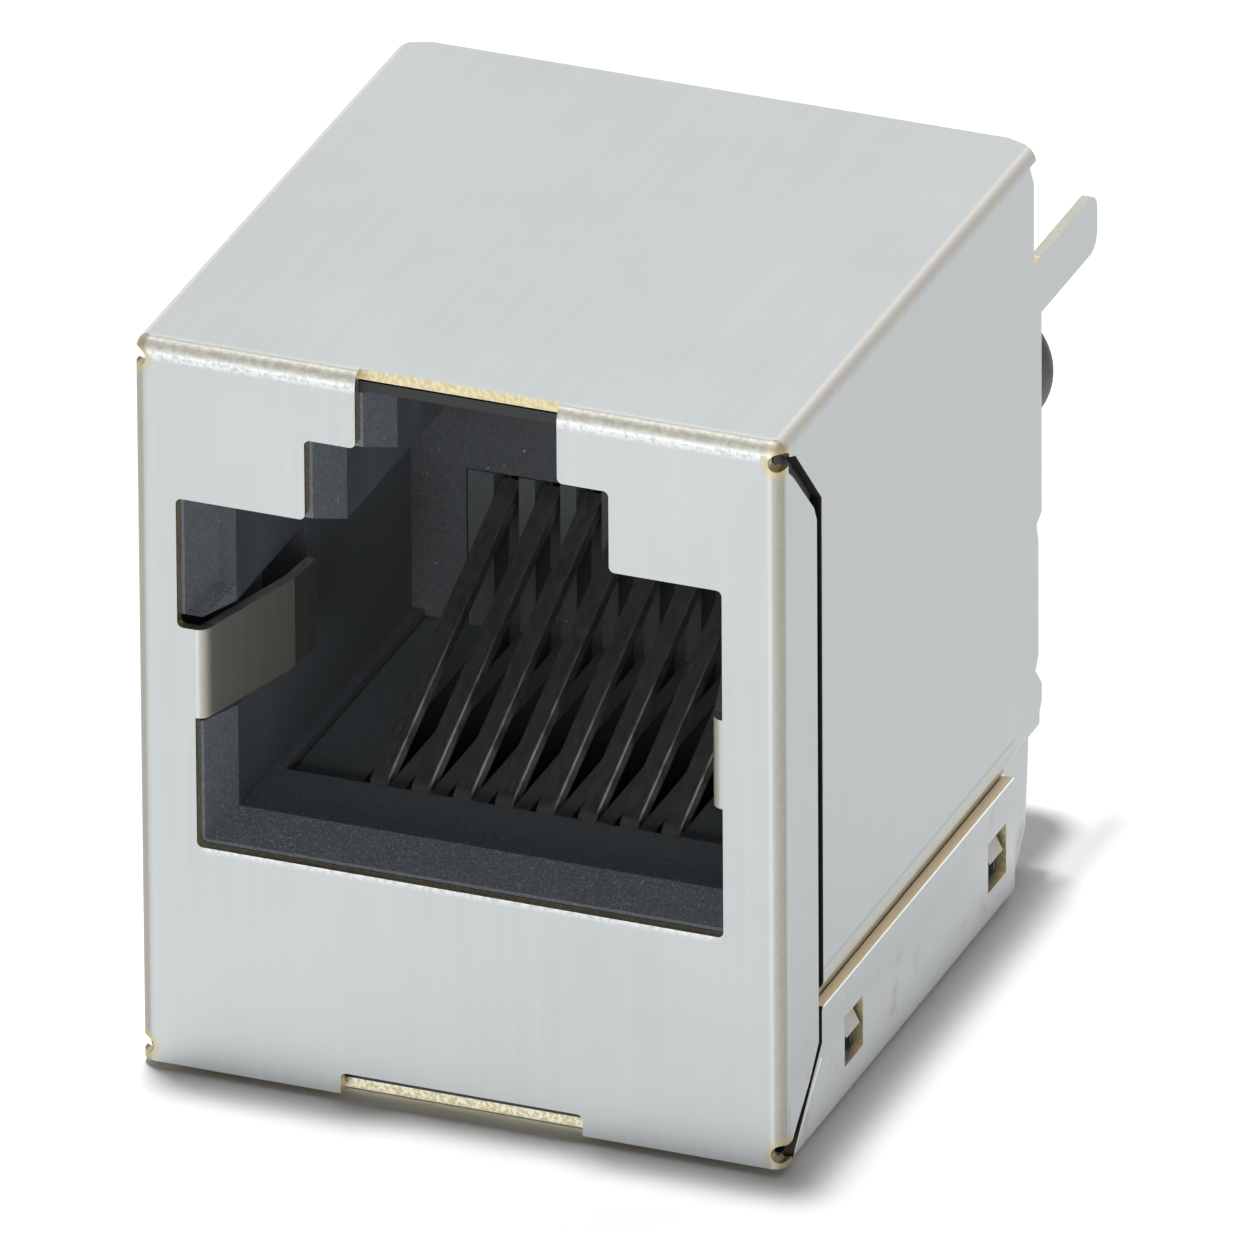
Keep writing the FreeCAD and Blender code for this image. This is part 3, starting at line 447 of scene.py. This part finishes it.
def moulded_plastic(name, finish, base, raised):
    """Injection moulded PBT: near black, with fine matte grain from the tool.

    Dust lies as pale specks on the ledges. Deep in the cavity the walls are painted lighter as a painted
    light, and the back wall gets a painted shade.
    """
    material, tree = new_material(name)
    spot = Spot(tree)
    y = spot.y
    _, facing_y, facing_z = spot.normal
    grain = add_node(tree, "TexNoise", spot.point, 1 / finish.grain_size, 5.0, 0.7)
    grit = add_node(tree, "TexNoise", spot.point, 1 / (finish.grain_size * 0.7), 1.0)
    grit = product(tree, add_node(tree, "MapRange", grit, 0.54, 0.7, **SMOOTH),
                   add_node(tree, "MapRange", facing_z, 0.2, 0.6, 0.0, 0.4, **SMOOTH))

    inside = within(tree, y, high=FRONT_FACE + CAVITY_DEPTH)
    depths = [FRONT_FACE + depth for depth in SHADING_DEPTHS]
    deep = product(tree, inside, add_node(tree, "MapRange", y, *depths, **SMOOTH))
    back = product(tree, deep, add_node(tree, "MapRange", facing_y, -0.6, -0.9, **SMOOTH))
    wall = product(tree, deep, add_node(tree, "MapRange", facing_y, -0.9, -0.6, **SMOOTH))
    ledge = product(tree, inside, within(tree, y, low=FRONT_FACE + RIM_DEPTH),
                    add_node(tree, "MapRange", facing_y, -0.85, -0.95, **SMOOTH))
    pegs = within(tree, y, low=BOARD_SIDE - 0.1)

    specks = add_node(tree, "TexVoronoi", spot.point, 1 / finish.speck_spacing, feature="F1")
    lot = add_node(tree, "SeparateColor", specks.outputs["Color"])
    scarcity = add_node(tree, "MapRange", facing_z, 0.2, 0.6, 0.985, 0.78, **SMOOTH)
    patches = add_node(tree, "TexNoise", spot.point, 1 / finish.patch_size)
    dust = product(tree, add_node(tree, "Math", lot, scarcity, operation="GREATER_THAN"),
                   add_node(tree, "MapRange", specks, 0.42, 0.15, **SMOOTH),
                   add_node(tree, "MapRange", patches, 0.35, 0.65, 0.15, 0.6, **SMOOTH))

    # The strip behind the shield's notch and the corners behind its relief holes lie in shadow
    corner = product(tree, within(tree, spot.outward, low=SIDE_FACE - SHADOW_WIDTH),
                     within(tree, y, high=FRONT_FACE + RIM_DEPTH))
    hidden = strongest(tree, within(tree, spot.z, low=TOP_FACE - SHADOW_WIDTH), corner)

    colour = layered(tree, base, (
        (add_node(tree, "MapRange", grain, 0.35, 0.75, **SMOOTH), raised),
        (grit, finish.dust),
        # Painted light on the cavity's deep walls
        (product(tree, wall, finish.wall_light_amount), finish.wall_light),
        (product(tree, strongest(tree, back, ledge), 0.72), finish.shaded),
        (product(tree, pegs, 0.85), finish.shaded),
        (dust, finish.dust),
        (hidden, finish.shaded),
    ))
    rough = add_node(tree, "MapRange", grain, 0.3, 0.7, finish.roughness - 0.06, finish.roughness + 0.08,
                     **SMOOTH)
    surface(tree, {
        "Base Color": colour,
        "Metallic": 0.0,
        "IOR": 1.5,
        "Roughness": rough,
        "Normal": add_node(tree, "Bump", {
            "Height": grain, "Strength": 0.5, "Distance": finish.relief * MM}),
    })
    return material


def contact_metal(finish):
    """Drawn and formed phosphor bronze with a thin flash plate: warm, dull, streaked along the strip."""
    material, tree = new_material("formed_phosphor_bronze")
    spot = Spot(tree)
    y = spot.y
    # Offset from the middle of its own contact
    pitch = add_node(tree, "Math", spot.x, 1 / CONTACT_SPACING, 0.5, operation="MULTIPLY_ADD")
    nearest = add_node(tree, "Math", pitch, operation="ROUND")
    offset = product(tree, add_node(tree, "Math", pitch, nearest, operation="SUBTRACT"), CONTACT_SPACING)

    # A painted highlight runs along the sheared edge on one side, strongest at the front bend, and along the
    # foremost line
    edge_from, edge_full = (finish.half_width - inset for inset in EDGE_INSETS)
    shine_from, shine_full = (CONTACT_FRONT + depth for depth in EDGE_DEPTHS)
    tip_from, tip_full = (CONTACT_FRONT + depth for depth in TIP_DEPTHS)
    edge = product(tree, add_node(tree, "MapRange", offset, edge_from, edge_full, **SMOOTH),
                   add_node(tree, "MapRange", y, shine_from, shine_full, 0.05, 0.3, **SMOOTH))
    tip = product(tree, add_node(tree, "MapRange", y, tip_from, tip_full, **SMOOTH), 0.28)
    glint_patches = add_node(tree, "TexNoise", spot.point, 1 / finish.glint_patch_size)
    edge_glint = product(tree, strongest(tree, edge, tip), within(tree, y, high=CONTACT_FRONT + BRIGHT_DEPTH),
                   add_node(tree, "MapRange", glint_patches, 0.3, 0.6, 0.35, 1.0, **SMOOTH))

    stretched = add_node(tree, "CombineXYZ", product(tree, spot.x, 8.0), product(tree, y, 0.4), spot.z)
    drawn = add_node(tree, "TexNoise", stretched, 1 / finish.streak_width, 3.0, 0.6)
    colour = layered(tree, finish.strip, (
        (add_node(tree, "MapRange", drawn, 0.35, 0.7, **SMOOTH), finish.strip_bright),
        (edge_glint, finish.edge),
        (add_node(tree, "MapRange", y, *TINNED, **SMOOTH), finish.tail),
    ))
    rough = add_node(tree, "MapRange", drawn, 0.3, 0.7, finish.roughness - 0.05, finish.roughness + 0.1,
                     **SMOOTH)
    # A thin film of dust dulls the strip, and the painted highlight on its edge is matte
    surface(tree, {
        "Base Color": colour,
        "Metallic": add_node(tree, "MapRange", edge_glint, 0.0, 0.3, 0.97, 0.0, **SMOOTH),
        "Roughness": rough,
        "Normal": add_node(tree, "Bump", {
            "Height": drawn, "Strength": 0.3, "Distance": finish.relief * MM}),
    })
    return material


def paper_sweep(finish):
    """Matte white paper sweep: no gloss, so that only the soft contact shadow shows."""
    material, tree = new_material("matte_white_paper")
    fibre = add_node(tree, "TexNoise", Spot(tree).point, 1 / finish.fibre_size)
    shade = tuple(part * 0.985 for part in finish.floor[:3]) + (1.0,)
    surface(tree, {
        "Base Color": layered(tree, finish.floor, [
            (add_node(tree, "MapRange", fibre, 0.35, 0.65, **SMOOTH), shade)]),
        "Roughness": 0.9,
        "Specular IOR Level": 0.1,
    })
    return material


def paper_floor(settings):
    """The flat paper sweep that the jack lies on."""
    mesh = bpy.data.meshes.new("paper_floor")
    corners = [(x * FLOOR_REACH, y * FLOOR_REACH, 0) for x, y in ((-1, -1), (1, -1), (1, 1), (-1, 1))]
    mesh.from_pydata(corners, [], [(0, 1, 2, 3)])
    mesh.materials.append(paper_sweep(settings))
    floor = bpy.data.objects.new("paper_floor", mesh)
    floor.location.z = -FLOOR_DROP
    return floor


def white_surround(settings):
    """An even dim world with a broad, soft, bright panel behind the jack's left and white walls low down."""
    world = bpy.data.worlds.new("white_surround")
    world.use_nodes = True
    tree = world.node_tree
    towards = add_node(tree, "TexCoord").outputs["Generated"]
    nearness = add_node(tree, "VectorMath", towards, BACKDROP, operation="DOT_PRODUCT")
    panel = add_node(tree, "MapRange", nearness, 0.5, 0.87, 0.0, settings.backdrop, **SMOOTH)
    height = add_node(tree, "SeparateXYZ", towards).outputs["Z"]
    walls = add_node(tree, "MapRange", height, 0.6, 0.3, 0.0, settings.horizon, **SMOOTH)
    lit = add_node(tree, "Math", panel, walls, operation="ADD")
    background = tree.nodes["Background"]
    background.inputs["Color"].default_value = (1.0, 1.0, 1.0, 1.0)
    feed(tree, background.inputs["Strength"], add_node(tree, "Math", lit, settings.surround, operation="ADD"))
    return world


def softbox(name, place, power, width, spared=None):
    """A square area light that faces the jack and leaves the spared object alone."""
    lamp = bpy.data.lights.new(name, "AREA")
    lamp.energy = power
    lamp.size = width
    light = bpy.data.objects.new(name, lamp)
    light.location = place
    light.rotation_euler = (Vector((0, 0, AIM_HEIGHT)) - Vector(place)).to_track_quat("-Z", "Y").to_euler()
    if spared:
        receivers = bpy.data.collections.new(name + "_spares")
        receivers.objects.link(spared)
        receivers.collection_objects[0].light_linking.link_state = "EXCLUDE"
        light.light_linking.receiver_collection = receivers
    return light


def distant_camera(settings):
    """The photo's camera: far away, with a long lens."""
    camera = bpy.data.objects.new("camera", bpy.data.cameras.new("camera"))
    camera.data.lens = settings.lens
    camera.data.sensor_width = 36.0
    camera.data.clip_start = 0.05
    camera.data.clip_end = 10.0
    camera.location = CAMERA_PLACE
    camera.rotation_euler = [math.radians(angle) for angle in CAMERA_TURN]
    return camera


class JackSheetFinish(PropertyGroup):
    """Colours and grain of the shell and the cover."""

    plate: colour_property("Plate", "Even grey of the plated sheet", "#BEC2C3")
    plate_shade: colour_property("Plate shade", "Slightly darker clouds in the plate", "#BABEBF")
    plate_streak: colour_property("Plate streak", "Rolling streaks", "#C1C5C5")
    fold: colour_property("Fold", "Stretched plate over the folds", "#AEABA0")
    fold_spark: colour_property("Fold spark", "Bright grains over the folds", "#BDBBB2")
    # Painted highlight lines along the front's edges
    edge_highlight_tint: colour_property("Burnished", "Painted highlight lines under the upper fold and the opening", "#D8DBDA")
    # Painted reflection of the cover's brass edge
    brass_reflection: colour_property("Painted brass reflection", "Painted warm reflection on the stepped-in band", "#C4B78F")
    # Painted shade line
    crease_shade: colour_property("Crease shade", "Painted shade line where the side starts to step in", "#8F9493")
    side_fold: colour_property("Side fold", "Plate over the folds between the top and the sides", "#DAD6CF")
    # Painted shade line
    fold_shade: colour_property("Fold shade", "Painted shade line where the top starts to fold", "#85837B")
    # Painted shade that greys the sides
    shaded_side: colour_property("Shaded side", "Painted shade on the sides", "#B0B5B6")
    # Painted light on the foot of the sides
    clean: colour_property("Painted foot light", "Lighter plate low on the sides", "#E2E5E5")
    # Painted highlight along the cover's edges and the tabs' upper edges
    brushed: colour_property("Brushed tab", "Dull streaks on the ground tabs", "#A39E92")
    edge_glint: colour_property("Edge glint", "Painted highlights along the cover's edges and the tabs' upper edges", "#EEF0EC")
    cut_edge: colour_property("Cut edge", "Brass at the stamped edges", "#C5B891")
    cut_edge_bright: colour_property("Bright cut edge", "Burnished part of the stamped edges", "#D8CFAE")
    foot_edge: colour_property("Foot edge", "Matte sheared brass in the foot's notch", "#D8CFA8")
    foot_edge_bright: colour_property("Bright foot edge", "Bright grains of that edge", "#FFFBE6")
    # Brass painted lighter as a highlight
    lit_cover_brass: colour_property("Cover edge", "Brass along the top of the cover, painted lighter", "#FFF0D6")
    # Painted shade in that gap
    seam: colour_property("Seam", "Painted shade on the edge beside the front's flange", "#4E4A40")
    smudge: colour_property("Smudge", "Handling marks low on the sides", "#A67F66")
    roughness: share_property("Roughness", "Base roughness of the plate", 0.42)
    streak_width: size_property("Streak width", "Width of the rolling streaks", 0.22)
    streak_length: FloatProperty(
        name="Streak stretch", description="How many times longer than wide a streak is", default=60.0,
        min=1.0)
    cloud_size: size_property("Cloud size", "Size of the faint clouds", 5.0, 0.1)
    blotch_size: size_property("Smudge size", "Size of the handling marks", 1.3)
    peel_size: size_property("Fold grain", "Grain over the folds", 0.13)
    edge_grain: size_property("Edge grain", "Grain of the stamped edges", 0.1)
    grain_size: size_property("Grain", "Grain of the plate", 0.06)
    relief: size_property("Relief", "Height of the surface grain", 0.003, 0.0)


class JackPlasticFinish(PropertyGroup):
    """Colours and grain of the moulded pieces."""

    body: colour_property("Housing", "Near black of the housing", "#494E53")
    body_raised: colour_property("Housing grain", "Raised grain of the housing", "#656B72")
    insert: colour_property("Carrier", "Near black of the contact carrier", "#565C60")
    insert_raised: colour_property("Carrier grain", "Raised grain of the contact carrier", "#666C70")
    dust: colour_property("Dust", "Pale specks on the plastic", "#8D9399")
    # Painted light on the walls deep in the cavity
    wall_light: colour_property("Wall light", "Painted light on the cavity's walls", "#6E7377")
    wall_light_amount: share_property("Wall light amount", "How strongly the painted light covers the walls", 0.5)
    shaded: colour_property("Shaded strip", "Plastic close under the shield's top", "#0C0E0F")
    roughness: share_property("Roughness", "Base roughness of the plastic", 0.5)
    grain_size: size_property("Grain", "Moulded grain, drawn coarser than real,", 0.07)
    speck_spacing: size_property("Speck spacing", "Distance between possible specks", 0.1)
    patch_size: size_property("Dust patches", "Size of the patches that the specks lie in", 0.9)
    relief: size_property("Relief", "Height of the grain", 0.006, 0.0)


class JackContactFinish(PropertyGroup):
    """Colours of the contacts."""

    strip: colour_property("Strip", "Dull side of the formed strip", "#8E8F8E")
    strip_bright: colour_property("Bright strip", "Brighter streaks of the strip", "#A3A3A0")
    # Painted highlight along the sheared edge
    edge: colour_property("Edge", "Painted highlight on the sheared edge of the strip", "#C4BCA8")
    tail: colour_property("Tail", "Tinned solder tails", "#C9CBC9")
    roughness: share_property("Roughness", "Base roughness of the strip", 0.4)
    streak_width: size_property("Streak width", "Width of the drawing streaks", 0.2)
    half_width: size_property("Half width", "Half width of a contact", HALF_CONTACT)
    # Patches that break up the painted highlight
    glint_patch_size: size_property("Highlight patches", "Size of the patches along the bright edge", 0.5)
    relief: size_property("Relief", "Height of the drawing streaks", 0.004, 0.0)


class JackStage(PropertyGroup):
    """Floor, lights and camera."""

    floor: colour_property("Floor", "Colour of the paper sweep", "#FAFAFA")
    fibre_size: size_property("Paper grain", "Size of the paper's clouds", 1.5)
    surround: FloatProperty(
        name="Surround", description="Strength of the even white surround", default=0.1, min=0.0)
    horizon: FloatProperty(
        name="Horizon", description="Added strength of the white walls low all around", default=0.18, min=0.0)
    backdrop: FloatProperty(
        name="Backdrop", description="Added strength of the white panel behind the jack", default=0.9,
        min=0.0)
    overhead: FloatProperty(
        name="Overhead", description="Power of the overhead softbox", default=5.4, min=0.0, unit="POWER")
    fill: FloatProperty(
        name="Fill", description="Power of the low softbox at the front", default=4.6, min=0.0, unit="POWER")
    lens: FloatProperty(
        name="Lens", description="Focal length of the distant camera in millimetres", default=1118.26,
        min=1.0, unit="CAMERA")


class OBJECT_OT_jack_sheet_metal(Operator):
    """Finish the folded shell and the bottom cover"""

    bl_idname = "object.jack_sheet_metal"
    bl_label = "Sheet Metal"

    def execute(self, context):
        material = plated_sheet(context.scene.jack_sheet)
        dress("shield_shell", material)
        dress("bottom_cover", material)
        return {"FINISHED"}


class OBJECT_OT_jack_plastic(Operator):
    """Finish the moulded housing and the contact carrier"""

    bl_idname = "object.jack_plastic"
    bl_label = "Moulded Plastic"

    def execute(self, context):
        finish = context.scene.jack_plastic
        body = moulded_plastic("moulded_black_pbt", finish, finish.body, finish.body_raised)
        insert = moulded_plastic("moulded_black_insert", finish, finish.insert, finish.insert_raised)
        dress("housing", body)
        dress("contact_carrier", insert)
        return {"FINISHED"}


class OBJECT_OT_jack_contacts(Operator):
    """Finish the formed contacts"""

    bl_idname = "object.jack_contacts"
    bl_label = "Contacts"

    def execute(self, context):
        material = contact_metal(context.scene.jack_contacts)
        for number in range(1, CONTACTS + 1):
            dress("contact_%d" % number, material)
        return {"FINISHED"}


class OBJECT_OT_jack_stage(Operator):
    """Add the floor, the lights and the camera"""

    bl_idname = "object.jack_stage"
    bl_label = "Stage"

    def execute(self, context):
        settings = context.scene.jack_stage
        collection = context.scene.collection
        floor = paper_floor(settings)
        collection.objects.link(floor)
        context.scene.world = white_surround(settings)
        for light in (
            softbox("overhead_softbox", (-0.036, 0.034, 0.8), settings.overhead, 0.06),
            softbox("fill_softbox", (0.08, -0.82, 0.13), settings.fill, 0.25, floor),
        ):
            collection.objects.link(light)
        camera = distant_camera(settings)
        collection.objects.link(camera)
        context.scene.camera = camera
        context.scene.view_settings.view_transform = "Standard"
        context.scene.view_settings.look = "None"
        return {"FINISHED"}


class VIEW3D_PT_board_jack(Panel):
    """The jack's finishes and its stage"""

    bl_idname = "VIEW3D_PT_board_jack"
    bl_label = "Board Jack"
    bl_space_type = "VIEW_3D"
    bl_region_type = "UI"
    bl_category = "Board Jack"

    def draw(self, context):
        for operator, settings in (
            ("object.jack_sheet_metal", context.scene.jack_sheet),
            ("object.jack_plastic", context.scene.jack_plastic),
            ("object.jack_contacts", context.scene.jack_contacts),
            ("object.jack_stage", context.scene.jack_stage),
        ):
            box = self.layout.box()
            box.operator(operator)
            for name in settings.bl_rna.properties.keys():
                if name not in {"rna_type", "name"}:
                    box.prop(settings, name)


GROUPS = {
    "jack_sheet": JackSheetFinish,
    "jack_plastic": JackPlasticFinish,
    "jack_contacts": JackContactFinish,
    "jack_stage": JackStage,
}
CLASSES = tuple(GROUPS.values()) + (
    OBJECT_OT_jack_sheet_metal,
    OBJECT_OT_jack_plastic,
    OBJECT_OT_jack_contacts,
    OBJECT_OT_jack_stage,
    VIEW3D_PT_board_jack,
)


def register():
    for cls in CLASSES:
        bpy.utils.register_class(cls)
    for name, group in GROUPS.items():
        setattr(bpy.types.Scene, name, PointerProperty(type=group))


def unregister():
    for name in GROUPS:
        delattr(bpy.types.Scene, name)
    for cls in reversed(CLASSES):
        bpy.utils.unregister_class(cls)


def main():
    register()
    bpy.ops.object.jack_sheet_metal()
    bpy.ops.object.jack_plastic()
    bpy.ops.object.jack_contacts()
    bpy.ops.object.jack_stage()


if __name__ == "__main__":
    main()
